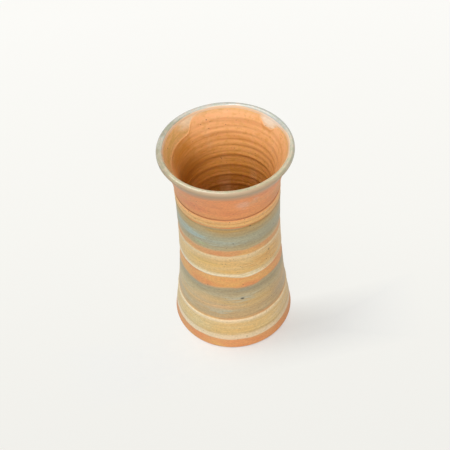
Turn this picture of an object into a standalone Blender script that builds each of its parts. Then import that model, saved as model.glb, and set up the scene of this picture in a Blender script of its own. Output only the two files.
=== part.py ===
"""A wheel-thrown stoneware vase with a flared lip and brushed bands of slip.

The clay body is one fired piece. Each coat of slip or glaze is a thin skin that was laid on it
separately, so each coat is an object of its own. The vase turns about Z, and the origin is the
middle of the foot, on the table. Sizes are in metres.
"""

import math
from typing import NamedTuple

import bmesh
import bpy

# Outline of the thrown clay
HEIGHT = 0.180  # table to the top of the glazed lip
WAIST_HEIGHT = 0.1345
WAIST_RADIUS = 0.0390
FOOT_RADIUS = 0.0491
FLARE_RADIUS = 0.0506  # radius that the flare would have at full height
FOOT_FLARE_POWER = 2.33
LIP_FLARE_POWER = 2.55
LIP_ROUND = 0.0016  # half the thickness of the rounded clay lip
WALL_AT_FOOT = 0.0070
WALL_AT_LIP = 0.0037

# Turned details of the clay
LEDGE_HEIGHT = 0.0322  # the foot is turned a little wider up to here
LEDGE_STEP = 0.0006
LINE_HEIGHT = 0.1446  # line cut round the neck with a pointed tool
LINE_DEPTH = 0.0009
LINE_HALF_WIDTH = 0.0008
FOOT_CHAMFER = 0.0010
FOOT_RING_INNER = 0.0405
FOOT_RECESS = 0.0025  # the underside is turned out inside the foot ring
FLOOR_HEIGHT = 0.0085
FLOOR_FILLET = 0.0110

# Throwing rings left by the fingers inside
RING_TOP = 0.160
RING_PITCH = 0.011
RING_DEPTH = 0.0006

# Coats of slip and glaze
COAT_GAP = 0.0003
COAT_THICKNESS = 0.00045
COAT_EDGE = 0.00012  # thickness left where a coat thins out
COAT_EDGE_RUN = 0.0016  # distance over which it thins out
BEAD_HEIGHT = 0.00025  # slip heaped up where the brush first and last touched the turning pot
BEAD_RUN = 0.0024  # distance from a bead's crest back to the even coat
BAND_LINE_DEPTH = 0.00025  # soft line scored round a band
RIM_GLAZE_OUTSIDE = 0.1645  # lowest level of the rim glaze on the outer wall
RIM_GLAZE_INSIDE = 0.1770  # and on the inner wall
LINER_TOP = 0.1763
LINER_DIPS = (
    # first and last angle in degrees counter-clockwise from +X, skew of the deepest place, depth
    (121.0, 245.0, 0.60, 0.0100),
    (30.0, 56.0, 0.76, 0.0042),
)

# Fineness of the turned surfaces
SEGMENTS = 32
HIDDEN_RING_LEVELS = 2  # a hollow and a crest
SHOWN_RING_LEVELS = 4
WALL_SPACING = 0.0120
FLARE_SPACING = 0.0065
LIP_STEPS = 6
FILLET_STEPS = 3
MERGE_DISTANCE = 0.000001
SHARP_DEGREES = 40.0


class Band(NamedTuple):
    """A band of slip brushed on the outer wall between two levels."""

    name: str
    low: float
    high: float
    colour: str
    roughness: float
    beaded: bool = False
    line: float = 0.0  # level of a scored line, or 0 for none


BANDS = (
    Band("foot_cream_band", 0.0080, 0.0317, "d9bd8a", 0.45, beaded=True),
    Band("lower_blue_band", 0.0334, 0.0690, "b5a583", 0.40),
    Band("upper_cream_band", 0.0800, 0.1055, "dcbb84", 0.45, beaded=True),
    Band("upper_blue_band", 0.1118, 0.1356, "a9a38b", 0.40),
    Band("shoulder_ochre_band", 0.1361, 0.1435, "dba867", 0.45, line=0.1398),
)

# Colours and roughness of the other surfaces
CLAY_FINISH = ("d9935f", 0.70)
RIM_FINISH = ("b9b59a", 0.25)
LINER_FINISH = ("d98f4e", 0.35)


def wall_radius(z):
    """Radius of the outer clay wall: two power curves that meet level at the waist."""
    if z >= WAIST_HEIGHT:
        rise = (z - WAIST_HEIGHT) / (HEIGHT - WAIST_HEIGHT)
        return WAIST_RADIUS + (FLARE_RADIUS - WAIST_RADIUS) * rise**LIP_FLARE_POWER
    drop = (WAIST_HEIGHT - z) / WAIST_HEIGHT
    radius = WAIST_RADIUS + (FOOT_RADIUS - WAIST_RADIUS) * drop**FOOT_FLARE_POWER
    return radius + (LEDGE_STEP if z < LEDGE_HEIGHT else 0.0)


def wall_lean(z):
    """Angle by which the flare leans out from the vertical."""
    rise = (z - WAIST_HEIGHT) / (HEIGHT - WAIST_HEIGHT)
    widening = (FLARE_RADIUS - WAIST_RADIUS) / (HEIGHT - WAIST_HEIGHT)
    return math.atan(widening * LIP_FLARE_POWER * rise ** (LIP_FLARE_POWER - 1.0))


def ring_depth(z):
    """How far a throwing ring stands into the vase: wide finger hollows with narrow crests."""
    if z >= RING_TOP:
        return 0.0
    return RING_DEPTH * math.sin(math.pi * (RING_TOP - z) / RING_PITCH) ** 4


def bore_radius(z):
    """Radius of the inner clay wall, with its throwing rings."""
    wall = WALL_AT_FOOT + (WALL_AT_LIP - WALL_AT_FOOT) * z / HEIGHT
    step = LEDGE_STEP if z < LEDGE_HEIGHT else 0.0
    return wall_radius(z) - step - wall - ring_depth(z)


def levels(low, high, spacing):
    """Evenly spaced levels from low to high, no further apart than the spacing."""
    count = max(1, math.ceil((high - low) / spacing - 1e-6))
    return [low + (high - low) * i / count for i in range(count + 1)]


def ring_levels(per_ring):
    """Levels of the inner wall from the flare down, with this many in each throwing ring."""
    lowest = FLOOR_HEIGHT + FLOOR_FILLET
    step = RING_PITCH / per_ring
    rings = [RING_TOP - step * i for i in range(int((RING_TOP - lowest) / step))]
    flare = levels(RING_TOP, LINER_TOP, FLARE_SPACING)[:0:-1]
    return flare + rings


def lip_section():
    """Centre of the rounded clay lip and the lean of the wall that runs into it."""
    centre_z = HEIGHT - COAT_GAP - COAT_THICKNESS - LIP_ROUND
    lean = wall_lean(centre_z)
    touch_z = centre_z - LIP_ROUND * math.sin(lean)
    centre_r = wall_radius(touch_z) - LIP_ROUND * math.cos(lean)
    return centre_r, centre_z, lean


def lip_arc(offset):
    """The half round over the lip, from the outer wall to the inner, this far off the clay."""
    centre_r, centre_z, lean = lip_section()
    radius = LIP_ROUND + offset
    angles = [math.pi * i / LIP_STEPS - lean for i in range(LIP_STEPS + 1)]
    return [(centre_r + radius * math.cos(a), centre_z + radius * math.sin(a)) for a in angles]


def bore_path(offset, per_ring):
    """The inner wall and floor, from the flare down to the middle, this far off the clay."""
    path = [(bore_radius(z) - offset, z) for z in ring_levels(per_ring)]
    centre_z = FLOOR_HEIGHT + FLOOR_FILLET
    centre_r = bore_radius(centre_z) - FLOOR_FILLET
    radius = FLOOR_FILLET - offset
    for i in range(FILLET_STEPS + 1):
        angle = 0.5 * math.pi * i / FILLET_STEPS
        path.append((centre_r + radius * math.cos(angle), centre_z - radius * math.sin(angle)))
    return path + [(0.0, FLOOR_HEIGHT + offset)]


def clay_profile():
    """Half section of the clay body, from the middle of its underside to that of its floor."""
    underside = [
        (0.0, FOOT_RECESS),
        (FOOT_RING_INNER - FOOT_RECESS, FOOT_RECESS),
        (FOOT_RING_INNER, 0.0),
        (wall_radius(0.0) - FOOT_CHAMFER, 0.0),
    ]
    foot = levels(FOOT_CHAMFER, LEDGE_HEIGHT - LEDGE_STEP, WALL_SPACING)
    wall = levels(LEDGE_HEIGHT, LINE_HEIGHT - LINE_HALF_WIDTH, WALL_SPACING)
    neck_top = lip_arc(0.0)[0][1]
    neck = levels(LINE_HEIGHT + LINE_HALF_WIDTH, neck_top, FLARE_SPACING)[:-1]
    outside = [(wall_radius(z), z) for z in foot + wall]
    outside.append((wall_radius(LINE_HEIGHT) - LINE_DEPTH, LINE_HEIGHT))
    outside += [(wall_radius(z), z) for z in neck]
    return underside + outside + lip_arc(0.0) + bore_path(0.0, HIDDEN_RING_LEVELS)


def band_profile(band):
    """Closed section of a band that thins out towards both edges, with its beads and line."""
    low_crest = band.low + COAT_EDGE_RUN
    high_crest = band.high - COAT_EDGE_RUN
    thickness = {band.low: COAT_EDGE, band.high: COAT_EDGE}
    if band.beaded:
        thickness[low_crest] = thickness[high_crest] = COAT_THICKNESS + BEAD_HEIGHT
        even = levels(low_crest + BEAD_RUN, high_crest - BEAD_RUN, WALL_SPACING)
    else:
        even = levels(low_crest, high_crest, WALL_SPACING)
    thickness.update(dict.fromkeys(even, COAT_THICKNESS))
    if band.line:
        thickness[band.line] = COAT_THICKNESS - BAND_LINE_DEPTH
    back = [(wall_radius(z) + COAT_GAP, z) for z in sorted(thickness)]
    face = [(r + thickness[z], z) for r, z in back]
    return back[::-1] + face


def rim_path(offset, edge_offset):
    """A line over the lip from the outer wall to the inner one, closer to the clay at its ends."""
    outer = levels(RIM_GLAZE_OUTSIDE, lip_arc(0.0)[0][1], FLARE_SPACING)[:-1]
    path = []
    for z in outer:
        off = edge_offset if z == RIM_GLAZE_OUTSIDE else offset
        lean = wall_lean(z)
        path.append((wall_radius(z) + off * math.cos(lean), z - off * math.sin(lean)))
    path += lip_arc(offset)
    lean = wall_lean(RIM_GLAZE_INSIDE)
    foot_r = bore_radius(RIM_GLAZE_INSIDE) - edge_offset * math.cos(lean)
    return path + [(foot_r, RIM_GLAZE_INSIDE + edge_offset * math.sin(lean))]


def rim_profile():
    """Closed section of the glaze over the lip."""
    face = rim_path(COAT_GAP + COAT_THICKNESS, COAT_GAP + COAT_EDGE)
    back = rim_path(COAT_GAP, COAT_GAP)
    return face + back[::-1]


def liner_profile():
    """Section of the liner glaze, from the axis on its back, over its top edge, to its face."""
    back = bore_path(COAT_GAP, HIDDEN_RING_LEVELS)
    face = bore_path(COAT_GAP + COAT_THICKNESS, SHOWN_RING_LEVELS)
    return back[::-1] + face


def liner_dip(angle):
    """How far the poured liner stops short of the rim glaze at an angle round the axis."""
    turn = math.degrees(angle) % 360.0
    for first, last, skew, depth in LINER_DIPS:
        if first < turn < last:
            return depth * math.sin(math.pi * ((turn - first) / (last - first)) ** skew)
    return 0.0


def glaze(name, colour, roughness):
    """A fired surface of one colour, given as an sRGB hex number."""
    channels = [int(colour[i : i + 2], 16) / 255.0 for i in (0, 2, 4)]
    linear = [c / 12.92 if c <= 0.04045 else ((c + 0.055) / 1.055) ** 2.4 for c in channels]
    material = bpy.data.materials.new(name)
    material.use_nodes = True
    shader = material.node_tree.nodes["Principled BSDF"]
    shader.inputs["Base Color"].default_value = (*linear, 1.0)
    shader.inputs["Roughness"].default_value = roughness
    material.diffuse_color = (*linear, 1.0)
    return material


def turned_mesh(profile, closed):
    """A bmesh spun about Z from a half section."""
    mesh = bmesh.new()
    points = [mesh.verts.new((r, 0.0, z)) for r, z in profile]
    pairs = list(zip(points, points[1:]))
    if closed:
        pairs.append((points[-1], points[0]))
    edges = [mesh.edges.new(pair) for pair in pairs]
    bmesh.ops.spin(
        mesh,
        geom=points + edges,
        cent=(0.0, 0.0, 0.0),
        axis=(0.0, 0.0, 1.0),
        angle=2.0 * math.pi,
        steps=SEGMENTS,
        use_merge=True,
    )
    bmesh.ops.remove_doubles(mesh, verts=mesh.verts, dist=MERGE_DISTANCE)
    bmesh.ops.recalc_face_normals(mesh, faces=mesh.faces)
    return mesh


def lower_liner_edge(mesh):
    """Draws the liner down above its rings where the pour stopped short of the lip."""
    for vert in mesh.verts:
        radius = math.hypot(vert.co.x, vert.co.y)
        share = (vert.co.z - RING_TOP) / (LINER_TOP - RING_TOP)
        if share <= 0.0 or radius < MERGE_DISTANCE:
            continue
        angle = math.atan2(vert.co.y, vert.co.x)
        off = bore_radius(vert.co.z) - radius
        z = vert.co.z - liner_dip(angle) * share
        grown = (bore_radius(z) - off) / radius
        vert.co = (vert.co.x * grown, vert.co.y * grown, z)


def sharpen_crests(data):
    """Keeps the crests between throwing rings crisp under smooth shading."""
    count = int(RING_TOP / RING_PITCH)
    crests = [RING_TOP - RING_PITCH * (i + 0.5) for i in range(count)]
    for edge in data.edges:
        ends = [data.vertices[i].co.z for i in edge.vertices]
        off_crest = [min(abs(z - crest) for crest in crests) for z in ends]
        edge.use_edge_sharp |= max(off_crest) < MERGE_DISTANCE


def add_piece(name, mesh, material, parent=None):
    """Makes a named, smoothly shaded object of a bmesh."""
    data = bpy.data.meshes.new(name)
    mesh.to_mesh(data)
    mesh.free()
    data.materials.append(material)
    data.shade_smooth()
    data.set_sharp_from_angle(angle=math.radians(SHARP_DEGREES))
    piece = bpy.data.objects.new(name, data)
    piece.parent = parent
    bpy.context.scene.collection.objects.link(piece)
    return piece


def build_vase():
    """Builds the clay body and every coat on it."""
    clay = glaze("fired_clay", *CLAY_FINISH)
    body = add_piece("clay_body", turned_mesh(clay_profile(), False), clay)

    liner_mesh = turned_mesh(liner_profile(), False)
    lower_liner_edge(liner_mesh)
    liner = add_piece("liner_glaze", liner_mesh, glaze("amber_glaze", *LINER_FINISH), body)
    sharpen_crests(liner.data)

    celadon = glaze("celadon_glaze", *RIM_FINISH)
    add_piece("rim_glaze", turned_mesh(rim_profile(), True), celadon, body)

    for band in BANDS:
        slip = glaze(band.name.replace("_band", "_slip"), band.colour, band.roughness)
        add_piece(band.name, turned_mesh(band_profile(band), True), slip, body)


def main():
    """Clears the scene and builds the vase."""
    for old in list(bpy.data.objects):
        bpy.data.objects.remove(old, do_unlink=True)
    build_vase()


main()
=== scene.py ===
"""A wheel-thrown stoneware vase with a flared lip, brushed bands of slip and a poured liner.

The clay body is one fired piece. Five bands of slip, a liner glaze and a rim glaze lie on it, each a
thin coat of its own. Every piece is a half section spun about Z, which then gets the unevenness that
fingers, brush and kiln leave. Lengths are in metres, and the foot stands on the floor at the origin.
Bearings are degrees round the axis, counter-clockwise from +X seen from above.
"""

import logging
import math
from collections.abc import Callable
from dataclasses import dataclass
from enum import Enum

import bmesh
import bpy
from mathutils import Matrix, Vector, noise


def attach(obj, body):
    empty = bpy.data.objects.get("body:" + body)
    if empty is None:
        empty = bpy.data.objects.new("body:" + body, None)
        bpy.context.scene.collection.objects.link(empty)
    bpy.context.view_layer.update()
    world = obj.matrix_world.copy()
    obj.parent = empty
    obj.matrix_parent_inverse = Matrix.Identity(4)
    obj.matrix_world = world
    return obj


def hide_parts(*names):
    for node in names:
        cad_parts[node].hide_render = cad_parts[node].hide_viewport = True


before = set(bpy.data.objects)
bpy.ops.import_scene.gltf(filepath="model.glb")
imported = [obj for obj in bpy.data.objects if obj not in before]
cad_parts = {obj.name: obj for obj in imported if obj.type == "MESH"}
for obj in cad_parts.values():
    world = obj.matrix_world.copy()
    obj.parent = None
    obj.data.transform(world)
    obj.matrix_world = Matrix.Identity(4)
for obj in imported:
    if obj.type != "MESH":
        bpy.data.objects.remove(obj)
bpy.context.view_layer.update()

MM = 0.001
SEGMENTS = 192
MERGE_DISTANCE = 0.001 * MM
SHARP_DEGREES = 50.0
CUT_STEP = 0.2 * MM  # between levels across the ledge and the cut line
LIP_STEP = 0.4 * MM  # between levels of the glaze just inside the lip
COAT_STEP = 0.6 * MM  # between levels of a shown coat
RING_STEP = 0.8 * MM  # between levels of the inner wall
WALL_STEP = 1.5 * MM
HIDDEN_STEP = 4.0 * MM
STEP_SLACK = 1e-6  # share of a step that is too little for one more level
SINK = 0.5 * MM  # how deep the hidden back of a coat lies in the clay
BURIED = 0.3  # share of its thickness that a coat's face lies in the clay where the coat has run out

# Numbers that each point of a mesh keeps for its material. The level is the height in its pattern on a
# band of slip, the share of the way over the lip on the rim glaze, and the line of a ring on the liner.
FACE_LAYER = "face"  # 1 on the shown face of a coat, and on the inner wall of the clay
COAT_LAYER = "coat"  # how much of a full coat lies there
LEVEL_LAYER = "level"

# Sockets of a colour mixer, whose names aren't unique
FACTOR = 0
UNDER = 6
OVER = 7
MIXED = 2

CLOUDS = (0.3, 0.7)  # between which most of a cloudy pattern lies
RELIEF_SPAN = (0.25, 0.75)  # of a pattern, between its smoothest and its roughest places
BUMP_STRENGTH = 0.6
BARE_ROUGHNESS = 0.6  # of clay that no coat covers
SPECK_CORE = 0.4  # share of a speck's radius inside which it is at its darkest
PATCH_CORE = 0.2  # and of a patch's reach

log = logging.getLogger("vase")

Colour = tuple[float, float, float, float]
Point = tuple[float, float]
Span = tuple[float, float]
Profile = Callable[[float], float]
Socket = bpy.types.NodeSocket
Coat = tuple[Socket | float, Socket | Colour]  # the share that a colour covers, and the colour


def linear(code: str) -> Colour:
    """Turns an sRGB hex colour into a linear one.

    Args:
        code: Six hex digits.

    Returns:
        Red, green, blue and an alpha of 1.
    """
    channels = [int(code[i : i + 2], 16) / 255.0 for i in (0, 2, 4)]
    red, green, blue = (c / 12.92 if c <= 0.04045 else ((c + 0.055) / 1.055) ** 2.4 for c in channels)
    return red, green, blue, 1.0


def smooth(share: float) -> float:
    """Eases from 0 to 1 as the share goes from 0 to 1."""
    share = min(1.0, max(0.0, share))
    return share * share * (3.0 - 2.0 * share)


def levels(low: float, high: float, step: float) -> list[float]:
    """Spaces levels evenly between two ends.

    Args:
        low: First level.
        high: Last level.
        step: Largest distance between neighbours.

    Returns:
        The levels, both ends among them.
    """
    count = max(1, math.ceil((high - low) / step - STEP_SLACK))
    return [low + (high - low) * i / count for i in range(count + 1)]


def drift(angle: float, turns: float, seed: float) -> float:
    """Gives a smooth wander round the vase that closes on itself.

    Args:
        angle: Place round the axis.
        turns: How lively the wander is; about six swings a turn for each unit.
        seed: Which wander it is.

    Returns:
        A number between about -1 and 1.
    """
    return noise.noise(Vector((turns * math.cos(angle), turns * math.sin(angle), seed)))


def laid(thickness: float, cover: float, buried: float = BURIED) -> float:
    """How far a coat's face stands off the clay, which is less than nothing where the coat has run out."""
    return thickness * ((1.0 + buried) * cover - buried)


def repeats(along: float, up: float) -> tuple[float, float, float]:
    """How often a size across X and Y, and one up Z, both in millimetres, go into a metre."""
    return 1.0 / (along * MM), 1.0 / (along * MM), 1.0 / (up * MM)


class Edge(Enum):
    """How a brush left the edge of a band: how far the edge fades, sways and frays."""

    LINED = (1.6 * MM, 0.35 * MM, 0.15 * MM)
    SOFT = (2.6 * MM, 0.6 * MM, 0.4 * MM)
    DRY = (4.6 * MM, 1.0 * MM, 0.9 * MM)

    def __init__(self, fade: float, sway: float, fray: float) -> None:
        """Names the three distances of an edge.

        Args:
            fade: Over what height the coat thins out.
            sway: How far the edge sways slowly.
            fray: How far it frays.
        """
        self.fade = fade
        self.sway = sway
        self.fray = fray

    def wander(self, angle: float, seed: float) -> float:
        """How far the edge strays up at a place round the axis."""
        swayed = self.sway * drift(angle, turns=1.1, seed=seed)
        return swayed + self.fray * drift(angle, turns=6.0, seed=seed)


@dataclass(frozen=True)
class Tone:
    """A colour of a finish, and the level in millimetres at which it shows."""

    level: float
    code: str


@dataclass(frozen=True)
class Patch:
    """A place where brush, kiln or a grain of iron left another colour.

    Its level and how far it reaches round the vase and up it are in millimetres.
    """

    bearing: float
    level: float
    along: float
    up: float
    code: str
    share: float = 1.0
    rag: float = 1.2


@dataclass(frozen=True)
class Grain:
    """A cloudy pattern, drawn out round the vase if its sizes across and up, in millimetres, differ.

    Where it shades a colour, dark and light are the shares of the colour's light that are left in its
    lowest and its highest places.
    """

    along: float
    up: float
    detail: float = 2.0
    shift: float = 0.0  # moves the pattern up, to make it a different one
    dark: float = 1.0
    light: float = 1.0


@dataclass(frozen=True)
class Blush:
    """Another colour that comes in as a pattern goes from one value to another, up to a share."""

    code: str
    share: float
    start: float = 0.45
    full: float = 0.7


@dataclass(frozen=True)
class Specks:
    """Round spots scattered through a finish, with their spacing and radius in millimetres.

    Space is cut into cells of the spacing's size. The filled share of them has a spot each, and the
    spots have different strengths, whose average is about the share.
    """

    code: str
    spacing: float
    radius: float
    share: float
    filled: float


FRAY = Grain(9, 1.3, shift=17)  # the raggedness of patches and of brushed or poured edges


def add_node(
    tree: bpy.types.NodeTree,
    kind: str,
    inputs: tuple | dict = (),
    out: str | int = 0,
    tones: tuple = (),
    **settings: object,
) -> Socket:
    """Adds a node with its settings, its inputs and the colours of its ramp.

    Args:
        tree: The node tree to add it to.
        kind: The node's type, without its prefix.
        inputs: A value or another node's output for each input, in order or by name or number.
        out: Which output is wanted.
        tones: Places from 0 to 1 and hex colours, for a colour ramp.
        settings: Properties of the node.

    Returns:
        The output.
    """
    node = tree.nodes.new("ShaderNode" + kind)
    for name, value in settings.items():
        setattr(node, name, value)
    for key, value in inputs.items() if isinstance(inputs, dict) else enumerate(inputs):
        if isinstance(value, Socket):
            tree.links.new(value, node.inputs[key])
        else:
            node.inputs[key].default_value = value
    for i, (place, code) in enumerate(tones):
        stops = node.color_ramp.elements
        stop = stops[i] if i < 2 else stops.new(place)
        stop.position = place
        stop.color = linear(code)
    return node.outputs[out]


def seen_rays(tree: bpy.types.NodeTree) -> Socket:
    """Tells the rays that show the background from those that only carry its light.

    Args:
        tree: The node tree to tell them in.

    Returns:
        A value that is 1 for a ray from the camera, a mirror or glass, and 0 for any other.
    """
    path = add_node(tree, "LightPath").node.outputs
    seen = path["Is Camera Ray"]
    for kind in ("Is Glossy Ray", "Is Transmission Ray"):
        seen = add_node(tree, "Math", (seen, path[kind]), operation="ADD")
    return seen


class Bench:
    """The node tree of one material, with the patterns that finishes are mixed from."""

    def __init__(self, name: str) -> None:
        """Starts a material with a plain shader and the object's own coordinates.

        Args:
            name: What the material is called.
        """
        self.material = bpy.data.materials.new(name)
        self.material.use_nodes = True
        self.tree = self.material.node_tree
        self.shader = self.tree.nodes["Principled BSDF"]
        self.place = self.add("TexCoord", out="Object")
        self.x, self.y, self.z = self.add("SeparateXYZ", (self.place,)).node.outputs
        self.grains: dict[Grain, Socket] = {}

    def add(self, kind: str, inputs: tuple | dict = (), out: str | int = 0, **settings: object) -> Socket:
        """Adds a node to the material, as add_node does."""
        return add_node(self.tree, kind, inputs, out, **settings)

    def grain(self, grain: Grain) -> Socket:
        """Makes a cloudy pattern, once in each material.

        Args:
            grain: The pattern's sizes.

        Returns:
            A value from 0 to 1, mostly near 0.5.
        """
        if grain not in self.grains:
            shift = (0.0, 0.0, grain.shift)
            scale = repeats(grain.along, grain.up)
            spread = self.add("Mapping", {"Vector": self.place, "Location": shift, "Scale": scale})
            clouds = {"Vector": spread, "Scale": 1.0, "Detail": grain.detail}
            self.grains[grain] = self.add("TexNoise", clouds)
        return self.grains[grain]

    def specks(self, specks: Specks) -> Coat:
        """Scatters round spots through the body.

        Args:
            specks: Their sizes, strength and colour.

        Returns:
            A share that is 0 off the spots, and their colour.
        """
        cells = {"Vector": self.place, "Scale": 1.0 / (specks.spacing * MM)}
        away = self.add("TexVoronoi", cells, "Distance")
        chance = away.node.outputs["Color"]
        held = self.add("MapRange", (chance, 1.0 - specks.filled, 1.0, 0.0, 2.0 * specks.share))
        reach = specks.radius / specks.spacing
        steps = (away, reach, SPECK_CORE * reach, 0.0, held)
        return self.add("MapRange", steps, interpolation_type="SMOOTHSTEP"), linear(specks.code)

    def spots(self, patches: tuple[Patch, ...], surface: Profile) -> list[Coat]:
        """Places patches on a surface.

        Args:
            patches: Where they are, how far they reach and how ragged they are.
            surface: Gives the surface's distance from the axis at a level.

        Returns:
            For each patch a share that is largest in its middle and 0 outside it, and its colour.
        """
        coats = []
        for patch in patches:
            turn = math.radians(patch.bearing)
            z = patch.level * MM
            middle = (surface(z) * math.cos(turn), surface(z) * math.sin(turn), z)
            scale = repeats(patch.along, patch.up)
            shift = tuple(-c * s for c, s in zip(middle, scale))
            placed = self.add("Mapping", {"Vector": self.place, "Location": shift, "Scale": scale})
            away = self.add("VectorMath", (placed,), "Value", operation="LENGTH")
            rag = self.add("MapRange", (self.grain(FRAY), *CLOUDS, -0.5 * patch.rag, 0.5 * patch.rag))
            frayed = self.add("Math", (away, rag), operation="ADD")
            steps = (frayed, 1.0, PATCH_CORE, 0.0, patch.share)
            share = self.add("MapRange", steps, interpolation_type="SMOOTHSTEP")
            coats.append((share, linear(patch.code)))
        return coats

    def blush(self, pattern: Socket, blush: Blush) -> Coat:
        """Gives the share that a blush covers, by a pattern, and its colour."""
        steps = (pattern, blush.start, blush.full, 0.0, blush.share)
        return self.add("MapRange", steps), linear(blush.code)

    def chart(self, height: Socket, tones: tuple[Tone, ...]) -> Socket:
        """Colours the vase by height.

        Args:
            height: The height to read, in metres.
            tones: The colours from the lowest level up.

        Returns:
            The colour.
        """
        low, high = tones[0].level, tones[-1].level
        share = self.add("MapRange", (height, low * MM, high * MM, 0.0, 1.0))
        stops = tuple(((tone.level - low) / (high - low), tone.code) for tone in tones)
        return self.add("ValToRGB", (share,), tones=stops)

    def lay(self, colour: Socket | Colour, coats: list[Coat]) -> Socket:
        """Lays colours over another one in turn.

        Args:
            colour: What lies undermost.
            coats: What lies over it, from below.

        Returns:
            What shows.
        """
        for share, over in coats:
            colour = self.add("Mix", {FACTOR: share, UNDER: colour, OVER: over}, MIXED, data_type="RGBA")
        return colour

    def shade(self, colour: Socket, pattern: Socket, dark: float, light: float) -> Socket:
        """Darkens a colour where a pattern is low, and lightens it where the pattern is high."""
        share = self.add("MapRange", (pattern, *CLOUDS, dark, light))
        return self.add("VectorMath", {0: colour, "Scale": share}, operation="SCALE")

    def grained(self, colour: Socket, grain: Grain) -> Socket:
        """Shades a colour by a cloudy pattern."""
        return self.shade(colour, self.grain(grain), grain.dark, grain.light)

    def close(
        self, colour: Socket, relief: Grain, depth: float, roughness: Span, gloss: Socket | float = 1.0
    ) -> bpy.types.Material:
        """Joins the colour, the fine relief and the roughness to the shader.

        Args:
            colour: What shows.
            relief: Pattern of the fine unevenness, which is also more or less rough.
            depth: How deep it is, in millimetres.
            roughness: How rough its low and its high places are.
            gloss: Share of the finish that covers the duller clay.

        Returns:
            The finished material.
        """
        uneven = self.grain(relief)
        bump = self.add("Bump", {"Height": uneven, "Strength": BUMP_STRENGTH, "Distance": depth * MM})
        covered = self.add("MapRange", (uneven, *RELIEF_SPAN, *roughness))
        rough = self.add("MapRange", (gloss, 0.0, 1.0, BARE_ROUGHNESS, covered))
        for socket, name in ((colour, "Base Color"), (bump, "Normal"), (rough, "Roughness")):
            self.tree.links.new(socket, self.shader.inputs[name])
        return self.material


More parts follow.
